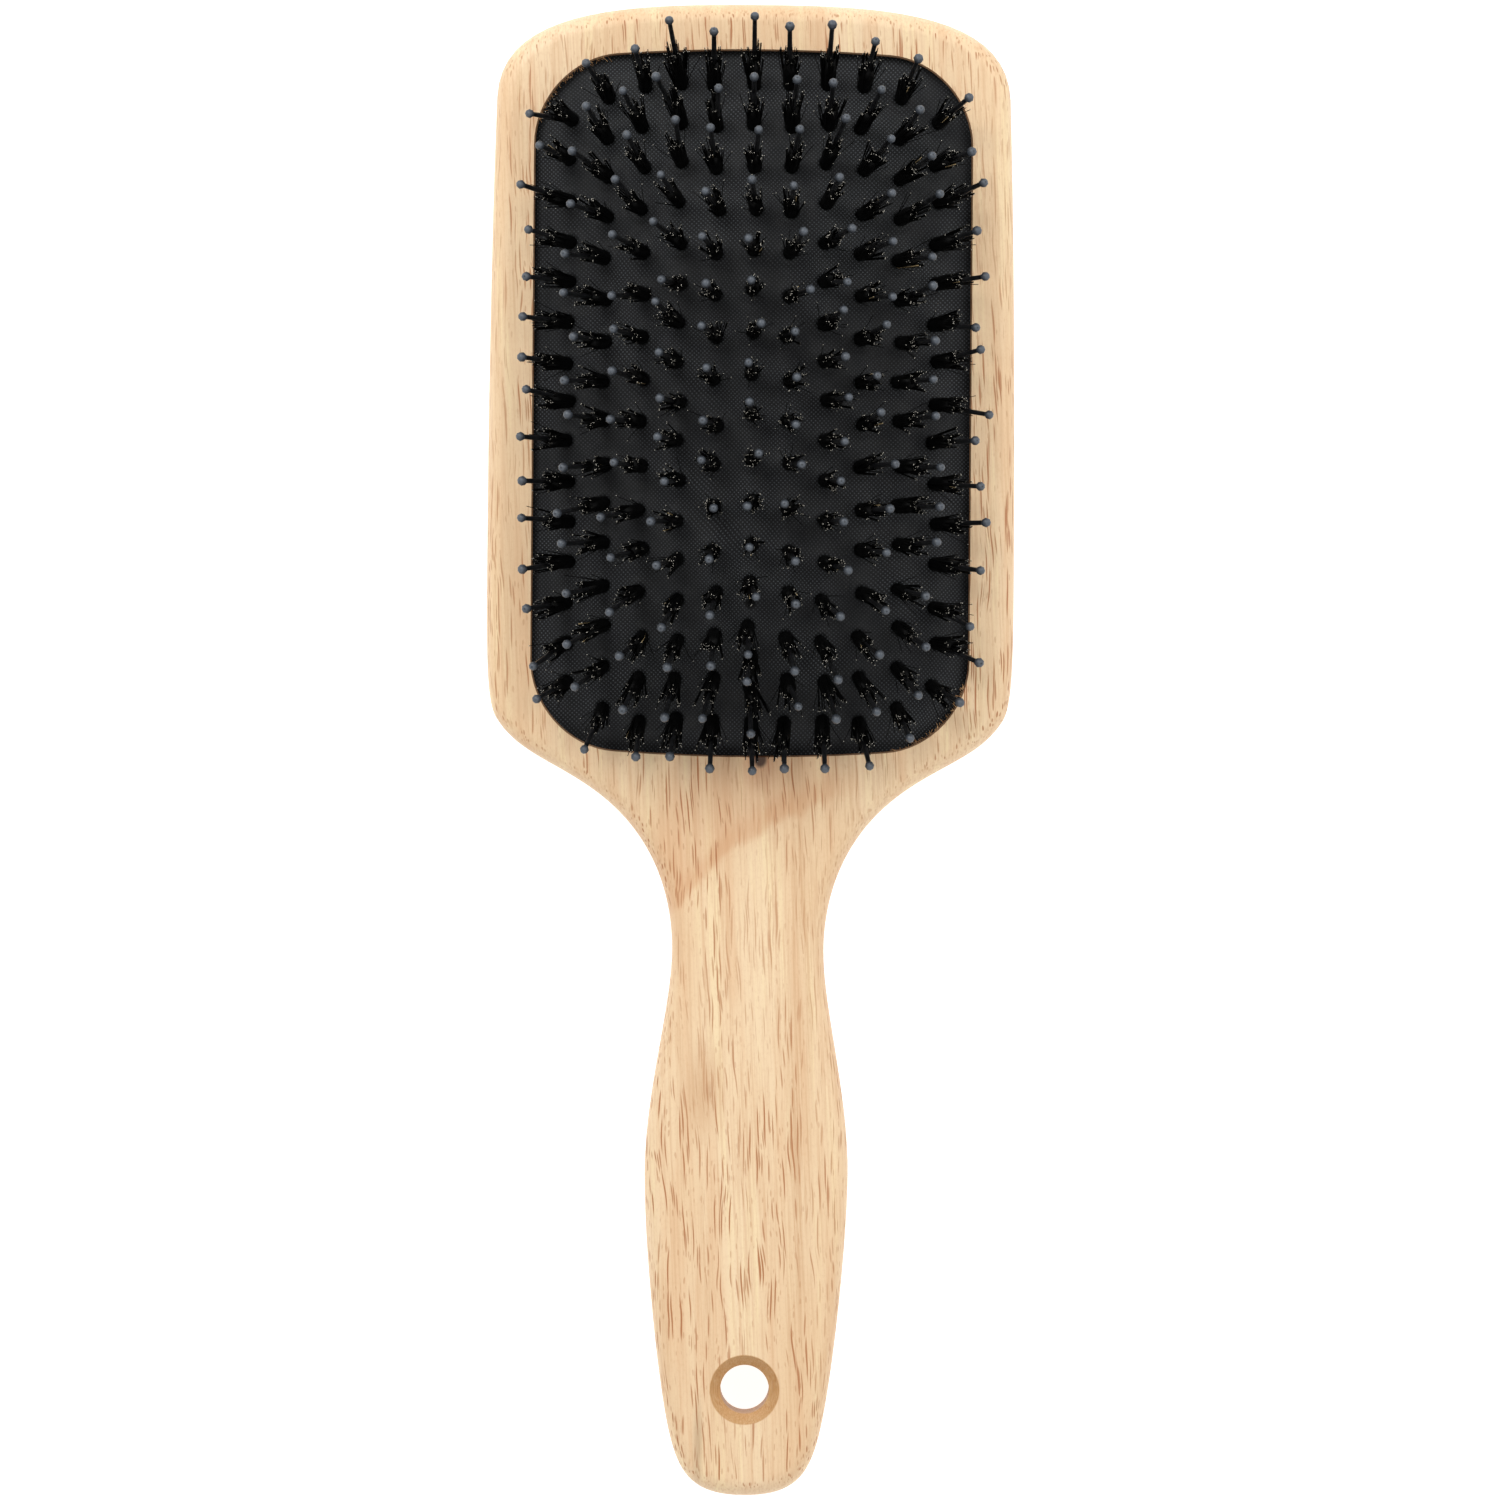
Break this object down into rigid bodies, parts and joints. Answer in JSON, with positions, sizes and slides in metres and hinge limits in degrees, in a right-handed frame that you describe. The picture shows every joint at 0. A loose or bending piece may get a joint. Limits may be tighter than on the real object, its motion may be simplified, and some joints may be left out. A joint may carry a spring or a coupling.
{
  "type": "paddle hairbrush",
  "caption": "Wooden paddle hairbrush with a domed rubber air cushion, black bristle tufts around ball-tipped quills and a hanging hole in the handle.",
  "frame": {"origin": "centre of the plan view at the flat back's plane", "axes": "+Z out of the bristle side, +Y towards the head end, +X across the head"},
  "size_m": [0.0866, 0.245, 0.0389],
  "materials": {
    "wood": "satin",
    "rubber": "matt",
    "nylon": "satin",
    "bristle": "matt"
  },
  "bodies": {
    "brush_body": {"wooden_body": "wood", "rubber_cushion": "rubber"},
    "pad_centre": {"quills_centre": "nylon", "bristles_centre": "bristle"},
    "pad_ring_5": {"quills_5_tail": "nylon", "bristles_5_tail": "bristle", "quills_5_left": "nylon", "bristles_5_left": "bristle", "quills_5_head": "nylon", "bristles_5_head": "bristle", "quills_5_right": "nylon", "bristles_5_right": "bristle"},
    "pad_ring_4": {"quills_4_tail": "nylon", "bristles_4_tail": "bristle", "quills_4_left": "nylon", "bristles_4_left": "bristle", "quills_4_head": "nylon", "bristles_4_head": "bristle", "quills_4_right": "nylon", "bristles_4_right": "bristle"},
    "pad_ring_3": {"quills_3_tail": "nylon", "bristles_3_tail": "bristle", "quills_3_left": "nylon", "bristles_3_left": "bristle", "quills_3_head": "nylon", "bristles_3_head": "bristle", "quills_3_right": "nylon", "bristles_3_right": "bristle"},
    "pad_ring_2": {"quills_2_tail": "nylon", "bristles_2_tail": "bristle", "quills_2_left": "nylon", "bristles_2_left": "bristle", "quills_2_head": "nylon", "bristles_2_head": "bristle", "quills_2_right": "nylon", "bristles_2_right": "bristle"},
    "pad_ring_1": {"quills_1_tail": "nylon", "bristles_1_tail": "bristle", "quills_1_left": "nylon", "bristles_1_left": "bristle", "quills_1_head": "nylon", "bristles_1_head": "bristle", "quills_1_right": "nylon", "bristles_1_right": "bristle"}
  },
  "joints": [
    {"name": "pad_press", "type": "slide", "parent": "brush_body", "child": "pad_centre", "axis": [0, 0, -1], "range_m": [0, 0.005], "stiffness_N_per_m": 1500, "deforming": ["rubber_cushion"]},
    {"name": "ring_5_sink", "type": "slide", "parent": "brush_body", "child": "pad_ring_5", "axis": [0, 0, -1], "range_m": [0, 0.00486]},
    {"name": "ring_4_sink", "type": "slide", "parent": "brush_body", "child": "pad_ring_4", "axis": [0, 0, -1], "range_m": [0, 0.0044]},
    {"name": "ring_3_sink", "type": "slide", "parent": "brush_body", "child": "pad_ring_3", "axis": [0, 0, -1], "range_m": [0, 0.00361]},
    {"name": "ring_2_sink", "type": "slide", "parent": "brush_body", "child": "pad_ring_2", "axis": [0, 0, -1], "range_m": [0, 0.00255]},
    {"name": "ring_1_sink", "type": "slide", "parent": "brush_body", "child": "pad_ring_1", "axis": [0, 0, -1], "range_m": [0, 0.00133]}
  ],
  "couplings": [
    {"joint": "ring_5_sink", "follows": "pad_press", "ratio": 0.972},
    {"joint": "ring_4_sink", "follows": "pad_press", "ratio": 0.879},
    {"joint": "ring_3_sink", "follows": "pad_press", "ratio": 0.721},
    {"joint": "ring_2_sink", "follows": "pad_press", "ratio": 0.51},
    {"joint": "ring_1_sink", "follows": "pad_press", "ratio": 0.266}
  ]
}
